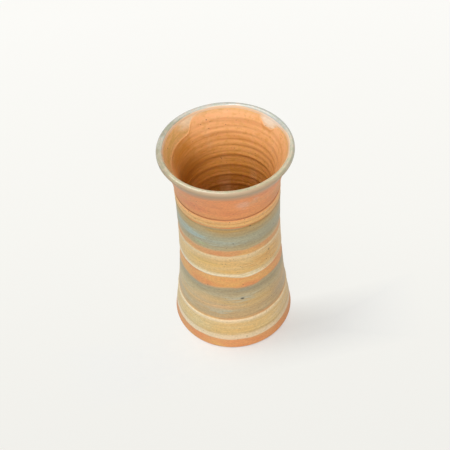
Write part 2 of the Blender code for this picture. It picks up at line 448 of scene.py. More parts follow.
@dataclass(frozen=True)
class ThrownForm:
    """The shape that the wheel and the hands gave the clay."""

    height: float = 180.6 * MM
    waist_height: float = 134.9 * MM
    waist_radius: float = 39.3 * MM
    foot_radius: float = 49.6 * MM
    flare_radius: float = 51.1 * MM  # that the flare would have at full height
    foot_power: float = 2.33
    lip_power: float = 2.53
    lip_round: float = 2.05 * MM
    lip_coat: float = 0.3 * MM
    wall_at_foot: float = 7.0 * MM
    wall_at_lip: float = 4.85 * MM
    ledge_height: float = 32.2 * MM
    ledge_step: float = 0.4 * MM
    ledge_run: float = 0.9 * MM
    line_height: float = 144.7 * MM
    line_depth: float = 0.9 * MM
    line_half: float = 0.95 * MM
    foot_round: float = 1.2 * MM
    foot_ring_inner: float = 40.5 * MM
    foot_recess: float = 2.5 * MM
    floor_height: float = 8.5 * MM
    floor_fillet: float = 11.0 * MM
    ring_top: float = 174.5 * MM
    ring_fade: float = 4.0 * MM
    ring_pitch: float = 10.5 * MM
    ring_start: float = 0.38  # share of a pitch that the first ring starts further down
    ring_depth: float = 0.22 * MM
    ring_power: int = 10  # the higher, the narrower the crests
    ring_sure: float = 0.75  # strength of a ring that is always there
    ring_sway: float = 0.5  # and that comes and goes
    ring_turns: float = 0.8  # how lively it does so
    ring_span: float = 9.0 * MM  # and over what height
    ring_gain: float = 0.9  # by which the rings are deeper further down
    gain_top: float = 152.0 * MM
    gain_fade: float = 14.0 * MM
    half_ring: float = 0.35  # strength of the lower crest between two rings
    half_gain: float = 0.5  # which grows above the waist
    half_fade: float = 16.0 * MM
    half_power: int = 8
    half_phase: float = 0.7
    calm_bearing: float = 172.0  # where the thrower wiped the rings softer
    calm_reach: float = 70.0  # in degrees to each side
    calm_low: float = 0.3
    calm_rise: float = 0.5
    calm_start: float = 140.0 * MM
    calm_fade: float = 18.0 * MM
    fine_pitch: float = 1.9 * MM
    fine_depth: float = 0.08 * MM
    wobble: float = 0.18 * MM
    wobble_span: float = 45.0 * MM
    slow_turns: float = 0.9  # how lively the wobble and the fine lines are
    arc_steps: int = 14

    def wall(self, z: float) -> float:
        """Radius of the outer wall, from two power curves that meet at the waist.

        Args:
            z: Level.

        Returns:
            The radius, with the turned ledge and the cut line in it.
        """
        if z >= self.waist_height:
            rise = (z - self.waist_height) / (self.height - self.waist_height)
            radius = self.waist_radius + (self.flare_radius - self.waist_radius) * rise**self.lip_power
        else:
            drop = (self.waist_height - z) / self.waist_height
            radius = self.waist_radius + (self.foot_radius - self.waist_radius) * drop**self.foot_power
        return radius + self.ledge(z) - self.line(z)

    def ledge(self, z: float) -> float:
        """How far the turned foot stands out."""
        return self.ledge_step * smooth((self.ledge_height - z) / self.ledge_run)

    def line(self, z: float) -> float:
        """How deep the line round the neck is cut."""
        return self.line_depth * (1.0 - smooth(abs(z - self.line_height) / self.line_half))

    def lean(self, z: float) -> float:
        """Angle by which the flare leans out from the vertical.

        Args:
            z: Level.

        Returns:
            The angle.
        """
        rise = (z - self.waist_height) / (self.height - self.waist_height)
        widening = (self.flare_radius - self.waist_radius) / (self.height - self.waist_height)
        return math.atan(widening * self.lip_power * rise ** (self.lip_power - 1.0))

    def bore(self, z: float) -> float:
        """Radius of the inner wall before the fingers left their rings."""
        thickness = self.wall_at_foot + (self.wall_at_lip - self.wall_at_foot) * z / self.height
        return self.wall(z) - self.ledge(z) + self.line(z) - thickness

    def left_by_hand(self, angle: float, z: float) -> float:
        """Finds how much of the rings the hand left, which is less where it wiped them softer.

        Args:
            angle: Place round the axis.
            z: Level.

        Returns:
            A share that is 1 where nothing was wiped.
        """
        away = abs((math.degrees(angle) - self.calm_bearing + 180.0) % 360.0 - 180.0)
        wiped = self.calm_low + self.calm_rise * smooth((z - self.calm_start) / self.calm_fade)
        return 1.0 - wiped * smooth(2.0 - 2.0 * away / self.calm_reach)

    def crest(self, angle: float, z: float) -> float:
        """Finds how near a place is to the top of a throwing ring.

        Args:
            angle: Place round the axis.
            z: Level.

        Returns:
            About 1 on a narrow crest that climbs one pitch a turn, less on the lower one between, and
            0 in the wide hollows and near the lip.
        """
        below = self.ring_top - z
        turn = below / self.ring_pitch - angle / (2.0 * math.pi) - self.ring_start
        strength = self.ring_sure + self.ring_sway * drift(angle, self.ring_turns, z / self.ring_span)
        strength *= self.left_by_hand(angle, z)
        strength *= 1.0 + self.ring_gain * smooth((self.gain_top - z) / self.gain_fade)
        between = self.half_ring + self.half_gain * smooth((z - self.waist_height) / self.half_fade)
        crest = math.sin(math.pi * turn) ** self.ring_power
        crest += between * math.sin(2.0 * math.pi * turn + self.half_phase) ** self.half_power
        return strength * crest * smooth(below / self.ring_fade)

    def ring(self, angle: float, z: float) -> float:
        """How far the rings, and the finer lines of the fingers' skin, stand into the vase.

        Args:
            angle: Place round the axis.
            z: Level.

        Returns:
            The distance.
        """
        lines = self.left_by_hand(angle, z) * drift(angle, self.slow_turns, z / self.fine_pitch)
        lines *= smooth((self.ring_top - z) / self.ring_fade)
        return self.ring_depth * self.crest(angle, z) + self.fine_depth * lines

    def unevenness(self, angle: float, z: float) -> float:
        """How far the wall strays outwards from a true turned shape."""
        return self.wobble * drift(angle, self.slow_turns, z / self.wobble_span)

    def lip_arc(self, off: float) -> list[Point]:
        """Lays out the half round over the lip.

        Args:
            off: Distance from the clay, outwards.

        Returns:
            Radius and level of each point, from the outer wall to the inner.
        """
        centre_z = self.height - self.lip_coat - self.lip_round
        lean = self.lean(centre_z)
        centre_r = self.wall(centre_z - self.lip_round * math.sin(lean)) - self.lip_round * math.cos(lean)
        turns = [math.pi * i / self.arc_steps - lean for i in range(self.arc_steps + 1)]
        radius = self.lip_round + off
        return [(centre_r + radius * math.cos(t), centre_z + radius * math.sin(t)) for t in turns]

    def bore_path(self, top: float, off: float, step: float) -> list[Point]:
        """Lays out the inner wall, the curve at its foot and the floor.

        Args:
            top: Highest level.
            off: Distance from the clay, into the vase.
            step: Distance between levels.

        Returns:
            Radius and level of each point, from the top to the middle of the floor.
        """
        centre_z = self.floor_height + self.floor_fillet
        centre_r = self.bore(centre_z) - self.floor_fillet
        path = [(self.bore(z) - off, z) for z in levels(centre_z, top, step)[:0:-1]]
        radius = self.floor_fillet - off
        for i in range(self.arc_steps + 1):
            turn = 0.5 * math.pi * i / self.arc_steps
            path.append((centre_r + radius * math.cos(turn), centre_z - radius * math.sin(turn)))
        return path + [(0.5 * centre_r, self.floor_height + off), (0.0, self.floor_height + off)]


@dataclass(frozen=True)
class Stoneware:
    """Bare iron-bearing stoneware, thrown, turned and fired, with painted light and shade across it.

    To the eye it is a satin orange that goes yellower or pinker with the flame, with dark specks
    where grains of iron melted and faint lines from the turning tool.
    """

    name: str = "toasted_stoneware"
    tones: tuple[Tone, ...] = (
        Tone(0, "d48e55"),
        # darker and duller at 34 mm: bare clay in the corner over the ledge, with painted shade of that
        # corner
        Tone(34, "c79b69"),
        Tone(72, "d99958"),
        Tone(80, "dba05e"),
        Tone(108, "cf955f"),
        Tone(145, "de9155"),
        Tone(165, "e4925a"),
    )
    clouds: Grain = Grain(22, 7, 3)
    flush: Blush = Blush("d3824f", 0.75, 0.5, 0.7)
    yellow: tuple[Tone, ...] = (Tone(110, "dcaa60"), Tone(140, "d89459"))
    yellow_span: Span = (0.46, 0.28)  # of the clouds
    yellow_share: float = 0.75
    patches: tuple[Patch, ...] = (
        Patch(284, 161, 6, 8, "e2a98c", 0.6, 0.8),
        Patch(296, 163, 4, 7, "dca585", 0.5, 0.8),
        Patch(232, 153, 16, 8, "dc7f52", 0.45),
        Patch(340, 154, 18, 13, "c6985f", 0.5, 0.5),
    )
    grit: Grain = Grain(1.7, 1, dark=0.88, light=1.1)  # coarser than real grit, which wouldn't show
    bore: str = "dba76c"
    blots: Grain = Grain(5, 3, 3, 23)
    olive: Blush = Blush("c0964c", 0.7, 0.5, 0.7)
    bore_patches: tuple[Patch, ...] = (
        Patch(166, 172.5, 22, 4, "c79c52", 0.8),
        Patch(128, 177, 14, 9, "e6cba9", 0.85, 0.25),
        Patch(39, 177, 13, 7, "e8d6c0", 0.9, 0.3),
    )
    bore_grit: Grain = Grain(2.2, 1.6, shift=29, dark=0.93, light=1.06)  # coarsened as well
    iron: Specks = Specks("4d3a2a", 4, 0.55, 0.8, 0.3)
    # Painted shade in the cut line round the neck, darkest in its middle and paler towards +X
    cut: str = "7d4620"
    cut_shade_fade: Span = (0.4 * MM, 1.2 * MM)  # from the middle of the cut line, where its painted shade ends
    cut_shade_side: Span = (14.0 * MM, 38.0 * MM)  # towards +X, where the painted shade gets paler
    cut_shade_share: Span = (1.0, 0.4)
    # Painted light and shade across X: cooler on the -X side, darker and warmer on the +X side
    lit_side_tint: Colour = (0.92, 1.02, 1.1, 1.0)  # painted light: what is left of each colour on the -X side, which faces the side light
    # Painted shade on the +X side, which is turned away from the side light: darker and warmer
    shaded_side_tint: Colour = (0.93, 0.91, 0.83, 1.0)
    middle_tint: Colour = (0.98, 0.965, 0.935, 1.0)  # and between the two, a little darker and warmer
    side_tint_reach: float = 40.0 * MM
    middle_tint_reach: float = 32.0 * MM
    turning: Grain = Grain(60, 1)  # lines of the turning tool, as fine as the render shows
    depth: float = 0.12
    roughness: Span = (0.45, 0.6)

    def shaded_by_side(self, bench: Bench, colour: Socket) -> Socket:
        """Paints light and shade across X: cooler towards -X, which faces the side light, darker towards
        +X.

        Args:
            bench: The material to mix it in.
            colour: The colour before the painted light and shade.

        Returns:
            The colour with painted light and shade.
        """
        share = bench.add("MapRange", (bench.x, -self.side_tint_reach, self.side_tint_reach, 0.0, 1.0))
        off_middle = bench.add("Math", (bench.x,), operation="ABSOLUTE")
        middle = bench.add("MapRange", (off_middle, 0.0, self.middle_tint_reach, 1.0, 0.0))
        tint = bench.lay(self.lit_side_tint, [(share, self.shaded_side_tint), (middle, self.middle_tint)])
        return bench.add("VectorMath", (colour, tint), operation="MULTIPLY")

    def colour(self, bench: Bench, form: ThrownForm) -> Socket:
        """Mixes the colour of the bare outer wall.

        Args:
            bench: The material to mix it in.
            form: The shape of the clay.

        Returns:
            The colour.
        """
        clouds = bench.grain(self.clouds)
        pale = bench.add("MapRange", (clouds, *self.yellow_span, 0.0, self.yellow_share))
        coats = [
            bench.blush(clouds, self.flush),
            (pale, bench.chart(bench.z, self.yellow)),
            *bench.spots(self.patches, form.wall),
        ]
        flamed = bench.lay(bench.chart(bench.z, self.tones), coats)
        # Painted light and shade across X, over the flamed colour
        return self.shaded_by_side(bench, bench.grained(flamed, self.grit))

    def unglazed_bore(self, bench: Bench, form: ThrownForm) -> Socket:
        """Mixes the colour of the inner wall where no glaze covers it.

        Args:
            bench: The material to mix it in.
            form: The shape of the clay.

        Returns:
            The colour.
        """
        olive = bench.blush(bench.grain(self.blots), self.olive)
        bare = bench.lay(linear(self.bore), [olive, *bench.spots(self.bore_patches, form.bore)])
        return bench.grained(bare, self.bore_grit)

    def material(self, form: ThrownForm) -> bpy.types.Material:
        """Makes the material of the clay body.

        Args:
            form: The shape of the clay.

        Returns:
            The material.
        """
        bench = Bench(self.name)
        inside = bench.add("Attribute", out="Fac", attribute_name=FACE_LAYER)
        # Painted shade in the cut line
        from_line = bench.add("Math", (bench.z, form.line_height), operation="SUBTRACT")
        away = bench.add("Math", (from_line,), operation="ABSOLUTE")
        deep = bench.add("MapRange", (bench.x, *self.cut_shade_side, *self.cut_shade_share))
        dark = bench.add("MapRange", (away, *self.cut_shade_fade, deep, 0.0))
        coats = [
            (dark, linear(self.cut)),
            (inside, self.unglazed_bore(bench, form)),
            bench.specks(self.iron),
        ]
        colour = bench.lay(self.colour(bench, form), coats)
        return bench.close(colour, self.turning, self.depth, self.roughness)


@dataclass(frozen=True)
class Slip:
    """Coloured liquid clay brushed on the turning pot and fired to a satin skin.

    To the eye it is a soft sheen with streaks that follow the brush round, iron specks that came
    through from the body, and clay that shows where the coat is thin.
    """

    name: str
    tones: tuple[Tone, ...]
    patches: tuple[Patch, ...]
    cool: Blush
    thin: float = 0.0  # how much the brush wore off in dry places
    whole: float = 0.2  # what it laid on beyond a full coat elsewhere
    fray: float = 0.5  # by which tones stray up and down, in millimetres
    ware: Stoneware = Stoneware()
    clouds: Grain = Grain(30, 4, shift=7)
    streaks: Grain = Grain(46, 1.5, 3, dark=0.9, light=1.09)
    pores: Grain = Grain(1.8, 1.1, shift=3, dark=0.88, light=1.11)  # coarser than real ones, to show
    dry: Grain = Grain(20, 5, 1, 11)
    dry_span: Span = (0.35, 0.7)
    cover_span: Span = (0.15, 0.85)  # of the coat, over which it hides the clay
    fine_iron: Specks = Specks("5a4a36", 2.2, 0.55, 0.4, 0.6)
    iron: Specks = Specks("5a4a36", 6, 0.7, 0.9, 0.3)
    depth: float = 0.12
    roughness: Span = (0.36, 0.5)

    def material(self, form: ThrownForm) -> bpy.types.Material:
        """Makes the material of one band.

        Args:
            form: The shape of the clay.

        Returns:
            The material.
        """
        bench = Bench(self.name)
        level = bench.add("Attribute", out="Fac", attribute_name=LEVEL_LAYER)
        lift = bench.add("MapRange", (bench.grain(FRAY), *CLOUDS, -self.fray * MM, self.fray * MM))
        height = bench.add("Math", (level, lift), operation="ADD")
        coats = [bench.blush(bench.grain(self.clouds), self.cool), *bench.spots(self.patches, form.wall)]
        brushed = bench.lay(bench.chart(height, self.tones), coats)
        brushed = bench.grained(bench.grained(brushed, self.streaks), self.pores)
        # fired holds the painted light and shade across X as well
        fired = self.ware.shaded_by_side(bench, brushed)

        coat = bench.add("Attribute", out="Fac", attribute_name=COAT_LAYER)
        worn = bench.add("MapRange", (bench.grain(self.dry), *self.dry_span, self.whole, -self.thin))
        left = bench.add("Math", (coat, worn), operation="ADD")
        steps = (left, *self.cover_span, 0.0, 1.0)
        cover = bench.add("MapRange", steps, interpolation_type="SMOOTHSTEP")
        coats = [(cover, fired), bench.specks(self.fine_iron), bench.specks(self.iron)]
        colour = bench.lay(self.ware.colour(bench, form), coats)
        return bench.close(colour, self.streaks, self.depth, self.roughness)


# Cream to ochre slip of the band at the foot
FOOT_CREAM = Slip(
    "cream_slip_at_foot",
    (
        Tone(9, "dcbf9c"),
        Tone(11, "dec3a0"),
        Tone(14, "dbc098"),
        Tone(16, "c6a36b"),
        Tone(18, "d3ae6f"),
        Tone(27.5, "d2ad71"),
        Tone(30.5, "dfc59d"),
    ),
    (
        Patch(283, 21.6, 11, 3, "dcae68", 0.5),
        Patch(232, 22, 16, 5, "cdb88a", 0.5),
        Patch(325, 22, 20, 8, "d4bb94", 0.7),
        Patch(281, 11.9, 0.8, 0.7, "6a5a44", 0.9, 0.1),
    ),
    Blush("d2bd90", 0.35),
)

# Thin blue-grey slip of the wide band below the waist
LOWER_BLUE = Slip(
    "blue_grey_slip_below",
    (
        # the lowest tone, in the corner over the ledge, is browner, partly painted shade of that corner
        Tone(33, "be9562"),
        Tone(37, "b8996c"),
        Tone(43, "b8996a"),
        Tone(46, "c9a166"),
        Tone(53, "c1a069"),
        Tone(58, "b69e72"),
        Tone(65, "9c8b68"),
        Tone(69, "a49370"),
    ),
    (
        Patch(279, 56.7, 14, 5, "b0aa92", 0.8),
        Patch(254, 41.5, 13, 4, "aea990", 0.8),
        Patch(258, 47, 17, 3.5, "d0a372", 0.6, 0.4),
        Patch(236, 48, 26, 13, "caa67b", 0.5, 0.5),
        Patch(326, 48, 20, 12, "ae9474", 0.6),
        Patch(228, 66, 9, 2.2, "98927a", 0.6),
        Patch(283, 65.5, 13, 2.2, "97917a", 0.6),
        Patch(279.3, 56.2, 2.3, 1.5, "403a30", 1, 0.25),
    ),
    Blush("aea58a", 0.5),
    thin=0.25,
)

# Cream to ochre slip of the band below the waist
UPPER_CREAM = Slip(
    "cream_slip_at_waist",
    (
        Tone(80, "dac6a2"),
        Tone(82, "e6d4b3"),
        Tone(83.5, "dcc499"),
        Tone(85.5, "d4ad6f"),
        Tone(97, "d6ac6a"),
        Tone(100, "d6b076"),
        Tone(102.5, "d9ba8b"),
        Tone(105, "e1c598"),
    ),
    (
        Patch(286, 82, 10, 1.1, "d8caa0", 0.6),
        Patch(293, 83.6, 12, 0.6, "e2d8ba", 0.7, 0.6),
        Patch(336, 81.5, 26, 3, "d3a868", 0.85, 0.6),
        Patch(314, 93, 24, 9, "cf984f", 0.75),
        Patch(240, 95, 16, 3, "d5ad62", 0.6),
        Patch(271, 87, 15, 2.2, "d9ad62", 0.6),
        Patch(316, 97.4, 1.5, 1.3, "7d6038", 0.9, 0.2),
    ),
    Blush("d4b888", 0.4),
)

# Blue-grey slip of the band at the waist, olive towards its top
UPPER_BLUE = Slip(
    "blue_grey_slip_above",
    (
        Tone(109.5, "c9a570"),
        Tone(112.5, "b49968"),
        Tone(116, "a18f69"),
        Tone(119, "9f967a"),
        Tone(125, "a29a7c"),
        Tone(129, "ad905c"),
        Tone(133, "b38e50"),
        Tone(135.5, "a57f42"),
    ),
    (
        Patch(221, 122, 18, 4.5, "9db0aa", 0.65),
        Patch(262, 119, 24, 4, "a5aa99", 0.6),
        Patch(236, 115.1, 7, 1.8, "a2a97e", 0.7),
        Patch(318, 122, 18, 9, "a0967a", 0.6),
        Patch(291.6, 134.6, 1.4, 1, "4d4634", 0.9, 0.2),
        Patch(272.5, 119, 0.9, 0.8, "5a5444", 0.9, 0.1),
    ),
    Blush("a6a58e", 0.4),
    thin=0.1,
)

# Yellow-ochre slip of the band under the cut line
SHOULDER_OCHRE = Slip(
    "ochre_slip_at_shoulder",
    (
        Tone(136, "c29858"),
        Tone(137.5, "deaa65"),
        Tone(139, "e4ac68"),
        Tone(140, "d1954d"),
        Tone(141, "e7ac68"),
        Tone(143, "e8aa6a"),
    ),
    (Patch(250, 137.9, 20, 2, "d9b076", 0.5),),
    Blush("d2ab74", 0.3),
)


@dataclass(frozen=True)
class Celadon:
    """A glossy grey-green glaze over the lip, coloured by a little iron.

    To the eye it is olive towards the front and bluish at the back, with lines drawn along the lip. It
    goes brown where it thins out, and fades into the clay on the outside of the flare. The lip's outer side
    has painted shade, and its inner side painted light.
    """

    name: str = "celadon_rim_glaze"
    ware: Stoneware = Stoneware()
    front: str = "b9af8d"
    back: str = "b3b4aa"
    back_span: Span = (-30.0 * MM, 24.0 * MM)  # of Y, over which it goes from one to the other
    patches: tuple[Patch, ...] = (
        Patch(150, 180, 22, 9, "96957c", 0.8),
        Patch(202, 180, 22, 9, "a2977a", 0.8),
        Patch(300, 180, 20, 9, "b5a982", 0.6),
        Patch(30, 180, 20, 9, "a7adac", 0.7),
    )
    mottle: Grain = Grain(3.4, 3, 3, 13)
    rosy: Blush = Blush("cfb092", 0.4, 0.5, 0.64)
    green: Blush = Blush("a3a67f", 0.4, 0.5, 0.36)
    specks: Specks = Specks("8d8b78", 2.4, 0.6, 0.5, 0.5)
    clouds: Grain = Grain(11, 7, 3, dark=0.92, light=1.06)
    lines: float = 3.5  # drawn along the lip, from its outer to its inner side
    line_length: float = 45.0  # in millimetres
    line_shade: Span = (0.8, 1.12)  # what is left of the light on dark and on light lines
    painted_lip_shade: Span = (0.8, 1.04)  # painted shade on the outer side of the lip, which faces away from the lights, and painted light on the inner side
    thinned: str = "ab9070"
    inner: str = "e2bd97"
    inner_wash: Patch = Patch(34, 177.5, 18, 6, "e3d4c3", 0.9, 0.3)
    inner_span: Span = (0.5, 0.85)  # of the way over the lip, where the inner colour takes over
    ragged: Grain = Grain(8, 4, 3, 5)
    wear: float = 0.03
    thick_span: Span = (0.87, 0.98)  # of the coat, over which it goes from a brown film to a full glaze
    film_span: Span = (0.1, 0.65)  # and from bare clay to a film
    depth: float = 0.15
    roughness: Span = (0.12, 0.2)
    specular: float = 0.9

    def full_glaze(self, bench: Bench, form: ThrownForm, across: Socket) -> Socket:
        """Mixes the colour of the glaze where it is thick, with painted shade on the lip's outer side.

        Args:
            bench: The material to mix it in.
            form: The shape of the clay.
            across: Share of the way over the lip.

        Returns:
            The colour.
        """
        place = bench.add("CombineXYZ", (bench.x, bench.y, across))
        along, _, _ = repeats(self.line_length, self.line_length)
        drawn = bench.add("Mapping", {"Vector": place, "Scale": (along, along, self.lines)})
        lines = bench.add("TexNoise", {"Vector": drawn, "Scale": 1.0, "Detail": 2.0})
        mottle = bench.grain(self.mottle)
        coats = [
            (bench.add("MapRange", (bench.y, *self.back_span, 0.0, 1.0)), linear(self.back)),
            *bench.spots(self.patches, form.wall),
            bench.blush(mottle, self.rosy),
            bench.blush(mottle, self.green),
            bench.specks(self.specks),
        ]
        glaze = bench.grained(bench.lay(linear(self.front), coats), self.clouds)
        # The lines are the glaze's own; across the lip it is painted shade outside and painted light inside
        return bench.shade(bench.shade(glaze, lines, *self.line_shade), across, *self.painted_lip_shade)

    def material(self, form: ThrownForm) -> bpy.types.Material:
        """Makes the material of the rim glaze.

        Args:
            form: The shape of the clay.

        Returns:
            The material.
        """
        bench = Bench(self.name)
        across = bench.add("Attribute", out="Fac", attribute_name=LEVEL_LAYER)
        glaze = self.full_glaze(bench, form, across)
        coat = bench.add("Attribute", out="Fac", attribute_name=COAT_LAYER)
        worn = bench.add("MapRange", (bench.grain(self.ragged), *CLOUDS, self.wear, -self.wear))
        left = bench.add("Math", (coat, worn), operation="ADD")
        thick = bench.add("MapRange", (left, *self.thick_span, 0.0, 1.0))
        cover = bench.add("MapRange", (left, *self.film_span, 0.0, 1.0))
        inside = bench.add("MapRange", (across, *self.inner_span, 0.0, 1.0))
        inner = bench.lay(linear(self.inner), bench.spots((self.inner_wash,), form.bore))
        bare = bench.lay(self.ware.colour(bench, form), [(inside, inner)])
        film = bench.lay(linear(self.thinned), [(inside, inner), (thick, glaze)])
        colour = bench.lay(bare, [(cover, film)])
        bench.shader.inputs["Specular IOR Level"].default_value = self.specular
        return bench.close(colour, self.clouds, self.depth, self.roughness, thick)


@dataclass(frozen=True)
class AmberGlaze:
    """A thin amber glaze poured round the inside and out again, fired to a satin.

    To the eye it deepens the orange of the clay, goes browner where it pooled, under the rings' crests,
    where a dark line is painted shade with glaze gathered in it, and along the edge where the pour
    stopped, and lets the iron specks through.
    """

    name: str = "amber_liner_glaze"
    ware: Stoneware = Stoneware()
    tones: tuple[Tone, ...] = (
        # Darker and browner further down: painted shade of the deep inside, over the shade the lamps cast
        # there
        Tone(20, "b5722c"),
        Tone(100, "b37420"),
        Tone(118, "c98a38"),
        Tone(130, "dd9e4a"),
        Tone(145, "ecb166"),
        Tone(160, "efb272"),
        Tone(175, "e9ae77"),
    )
    runs: Grain = Grain(9, 40, shift=3)
    pale: Blush = Blush("efbd8c", 0.5, 0.52, 0.75)  # where it ran thin
    pools: Grain = Grain(70, 3.4, shift=9)
    brown: Blush = Blush("b8752f", 0.55, 0.5, 0.75)  # where it pooled
    edge: Blush = Blush("b8752f", 0.6, 1, 1.25)  # where the coat is thicker than a full one
    mottle: Grain = Grain(3.2, 2.4, 3, 31)
    rosy: Blush = Blush("e9a06c", 0.4, 0.5, 0.66)
    ochre: Blush = Blush("cd9140", 0.4, 0.5, 0.34)
    ring_shade_and_pooling: Blush = Blush("94571d", 0.34, 0.15, 1.65)  # painted shade under the rings' crests, and glaze gathered there
    patches: tuple[Patch, ...] = (
        # Browner on the left inner wall: painted shade where it faces away from the side light, and glaze
        # gathered thicker there
        Patch(158, 142, 38, 30, "a86a14", 0.8, 0.2),
        Patch(158, 162, 29, 9, "b87820", 0.75, 0.15),
        Patch(108, 172, 0.9, 0.8, "6b4526", 0.9, 0.1),
        Patch(107, 165.5, 0.8, 0.7, "6b4526", 0.8, 0.1),
        Patch(46, 176, 0.9, 0.8, "6b4526", 0.9, 0.1),
    )
    iron: Specks = Specks("8a5a30", 2.6, 0.55, 0.6, 0.5)
    rings: Grain = Grain(70, 2.4, 3, dark=0.92, light=1.06)
    fray: float = 0.1
    cover_span: Span = (0.1, 0.8)  # of the coat, over which it hides the clay
    depth: float = 0.15
    roughness: Span = (0.4, 0.52)

    def material(self, form: ThrownForm) -> bpy.types.Material:
        """Makes the material of the liner.

        Args:
            form: The shape of the clay.

        Returns:
            The material.
        """
        bench = Bench(self.name)
        coat = bench.add("Attribute", out="Fac", attribute_name=COAT_LAYER)
        crest = bench.add("Attribute", out="Fac", attribute_name=LEVEL_LAYER)
        mottle = bench.grain(self.mottle)
        coats = [
            bench.blush(bench.grain(self.runs), self.pale),
            bench.blush(bench.grain(self.pools), self.brown),
            bench.blush(coat, self.edge),
            bench.blush(mottle, self.rosy),
            bench.blush(mottle, self.ochre),
            # Dark lines under the rings' crests: painted shade, and glaze gathered there
            bench.blush(crest, self.ring_shade_and_pooling),
            *bench.spots(self.patches, form.bore),
            bench.specks(self.iron),
        ]
        poured = bench.grained(bench.lay(bench.chart(bench.z, self.tones), coats), self.rings)
        frayed = bench.add("MapRange", (bench.grain(FRAY), *CLOUDS, -self.fray, self.fray))
        left = bench.add("Math", (coat, frayed), operation="ADD")
        cover = bench.add("MapRange", (left, *self.cover_span, 0.0, 1.0))
        colour = bench.lay(self.ware.unglazed_bore(bench, form), [(cover, poured)])
        return bench.close(colour, self.rings, self.depth, self.roughness, cover)


# What a piece of the vase can be dressed in
Finish = Stoneware | Slip | Celadon | AmberGlaze


def spun(hidden: list[Point], shown: list[Point], closed: bool) -> bmesh.types.BMesh:
    """Spins a half section about Z.

    Args:
        hidden: Radius and level of the points whose face layer stays 0.
        shown: And of those after them, whose face layer is 1.
        closed: Whether the last point joins the first.

    Returns:
        The mesh, with its poles merged and its faces outwards.
    """
    mesh = bmesh.new()
    for name in (FACE_LAYER, COAT_LAYER, LEVEL_LAYER):
        mesh.verts.layers.float.new(name)
    face = mesh.verts.layers.float[FACE_LAYER]
    points = [mesh.verts.new((radius, 0.0, z)) for radius, z in hidden + shown]
    for vert in points[len(hidden) :]:
        vert[face] = 1.0
    ends = points[1:] + points[:1] if closed else points[1:]
    edges = [mesh.edges.new(pair) for pair in zip(points, ends)]
    bmesh.ops.spin(
        mesh,
        geom=points + edges,
        cent=(0.0, 0.0, 0.0),
        axis=(0.0, 0.0, 1.0),
        angle=2.0 * math.pi,
        steps=SEGMENTS,
        use_merge=True,
    )
    bmesh.ops.remove_doubles(mesh, verts=mesh.verts, dist=MERGE_DISTANCE)
    bmesh.ops.recalc_face_normals(mesh, faces=mesh.faces)
    mesh.normal_update()
    return mesh


def layers(mesh: bmesh.types.BMesh) -> list[bmesh.types.BMLayerItem]:
    """Finds the face, coat and level layers of a mesh."""
    return [mesh.verts.layers.float[name] for name in (FACE_LAYER, COAT_LAYER, LEVEL_LAYER)]


def push_out(vert: bmesh.types.BMVert, distance: float) -> None:
    """Moves a vertex away from the axis, where it isn't on it.

    Args:
        vert: The vertex.
        distance: How far.
    """
    radius = math.hypot(vert.co.x, vert.co.y)
    if radius > MERGE_DISTANCE:
        vert.co.x *= 1.0 + distance / radius
        vert.co.y *= 1.0 + distance / radius


def set_down(name: str, mesh: bmesh.types.BMesh, material: bpy.types.Material) -> bpy.types.Object:
    """Makes an object from a mesh, which is then freed.

    Args:
        name: What the object is called.
        mesh: Its shape, in place.
        material: Its finish.

    Returns:
        The object, at the origin.
    """
    data = bpy.data.meshes.new(name)
    mesh.to_mesh(data)
    mesh.free()
    data.materials.append(material)
    made = bpy.data.objects.new(name, data)
    bpy.context.scene.collection.objects.link(made)
    return made


@dataclass
class Piece:
    """A piece of the vase that stands for one node of the frame."""

    form: ThrownForm
    name: str
    node: str
    slot: str
    finish: Finish

    def shape(self) -> bmesh.types.BMesh:
        """Builds the piece's mesh."""
        raise NotImplementedError

    def dress(self) -> bpy.types.Material:
        """Makes the piece's material."""
        return self.finish.material(self.form)

    def make(self) -> bpy.types.Object:
        """Builds the piece, dresses it and puts it on the frame.

        Returns:
            The piece's object.
        """
        piece = set_down(self.name, self.shape(), self.dress())
        piece.data.shade_smooth()
        piece.data.set_sharp_from_angle(angle=math.radians(SHARP_DEGREES))
        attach(piece, "root")
        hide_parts(self.node)
        return piece


@dataclass
class ClayBody(Piece):
    """The thrown wall, lip, floor and foot."""

    corner: float = 0.3  # share of the foot's recess that is cut off its upper corner
    ledge_cut: Span = (1.5 * MM, 0.5 * MM)  # below and above the ledge, where levels are close
    line_cut: float = 1.0 * MM  # and on both sides of the cut line
    lip_gap: float = 1.0 * MM  # between the lip's arc and the first level under it

    def shape(self) -> bmesh.types.BMesh:
        """Spins the clay's section and leaves the finger rings in it.

        Returns:
            The mesh.
        """
        form = self.form
        inner, recess = form.foot_ring_inner, form.foot_recess
        corner = self.corner * recess
        underside = [
            (0.0, recess),
            (0.5 * inner, recess),
            (inner - recess, recess),
            (inner - corner, recess - corner),
            (inner, 0.0),
        ]
        foot, bend = form.wall(form.foot_round), form.foot_round
        turns = [0.5 * math.pi * (i / form.arc_steps - 1.0) for i in range(form.arc_steps + 1)]
        rounded = [(foot + bend * (math.cos(t) - 1.0), bend * (1.0 + math.sin(t))) for t in turns]
        arc = form.lip_arc(0.0)
        below, above = self.ledge_cut
        ledge, line = form.ledge_height, form.line_height
        marks = (bend, ledge - below, ledge + above, line - self.line_cut, line + self.line_cut, arc[0][1])
        rises: list[float] = []
        for low, high, step in zip(marks, marks[1:], (WALL_STEP, CUT_STEP, WALL_STEP, CUT_STEP, COAT_STEP)):
            rises += levels(low, high, step)[1:]
        outside = [(form.wall(z), z) for z in rises[:-1]]
        inside = form.bore_path(arc[-1][1] - self.lip_gap, 0.0, RING_STEP)
        mesh = spun(underside + rounded + outside + arc, inside, False)
        face, _, _ = layers(mesh)
        for vert in mesh.verts:
            angle = math.atan2(vert.co.y, vert.co.x)
            push_out(vert, form.unevenness(angle, vert.co.z) - vert[face] * form.ring(angle, vert.co.z))
        return mesh


